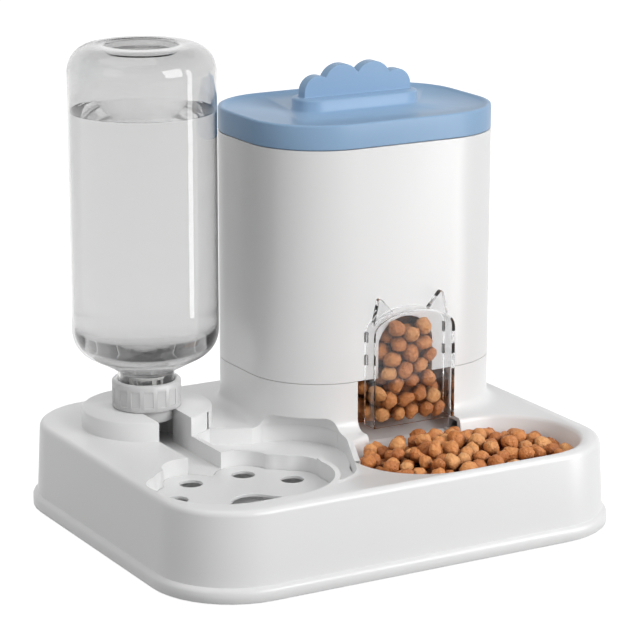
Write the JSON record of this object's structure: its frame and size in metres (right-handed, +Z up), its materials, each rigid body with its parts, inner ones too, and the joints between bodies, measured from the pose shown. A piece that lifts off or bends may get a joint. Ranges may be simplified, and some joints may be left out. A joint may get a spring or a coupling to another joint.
{
  "type": "pet food and water dispenser",
  "caption": "Gravity feeder for a cat or small dog: a lidded dry-food bin over a bowl, beside an upturned water bottle whose valve cap feeds a paw-shaped drinking pool.",
  "frame": {"origin": "middle of the tray's footprint, on the floor under the rubber feet", "axes": "+X along the tray's long side towards the food bin, +Y from the bowls to the back, +Z up"},
  "size_m": [0.3, 0.254, 0.286],
  "materials": {
    "white_plastic": "white moulded plastic with a soft gloss",
    "plate_plastic": "white moulded plastic, satin",
    "blue_plastic": "light steel blue plastic, satin gloss",
    "clear_plastic": "clear polished plastic",
    "bottle_plastic": "clear blown plastic",
    "water": "clear water",
    "cap_plastic": "white plastic, satin gloss",
    "valve_plastic": "natural white plastic",
    "dry_food": "baked dry food, dull and pitted",
    "foot_rubber": "dark grey rubber",
    "seal_rubber": "grey silicone rubber",
    "spring_steel": "drawn steel wire"
  },
  "bodies": {
    "base": {"tray": "white_plastic", "bin_stub": "white_plastic", "bottle_seat": "white_plastic", "foot_front_left": "foot_rubber", "foot_front_right": "foot_rubber", "foot_back_left": "foot_rubber", "foot_back_right": "foot_rubber", "paw_plate": "plate_plastic", "bin_food": "dry_food", "bowl_food": "dry_food"},
    "bin": {"bin": "white_plastic", "outlet_cover": "clear_plastic"},
    "lid": {"lid": "blue_plastic"},
    "bottle": {"bottle": "bottle_plastic", "water": "water", "bottle_cap": "cap_plastic", "cap_washer": "seal_rubber", "valve_cage": "valve_plastic", "valve_spring": "spring_steel"},
    "plunger": {"valve_plunger": "valve_plastic", "valve_seal": "seal_rubber"}
  },
  "joints": [
    {"name": "bin_lift", "type": "slide", "parent": "base", "child": "bin", "axis": [0, 0, 1], "range_m": [0, 0.03]},
    {"name": "lid_lift", "type": "slide", "parent": "bin", "child": "lid", "axis": [0, 0, 1], "range_m": [0, 0.04]},
    {"name": "bottle_lift", "type": "slide", "parent": "base", "child": "bottle", "axis": [0, 0, 1], "range_m": [0, 0.03]},
    {"name": "valve_close", "type": "slide", "parent": "bottle", "child": "plunger", "axis": [0, 0, 1], "range_m": [-0.003, 0], "deforming": ["valve_spring"]}
  ],
  "couplings": [
    {"joint": "valve_close", "follows": "bottle_lift", "ratio": -0.1}
  ]
}
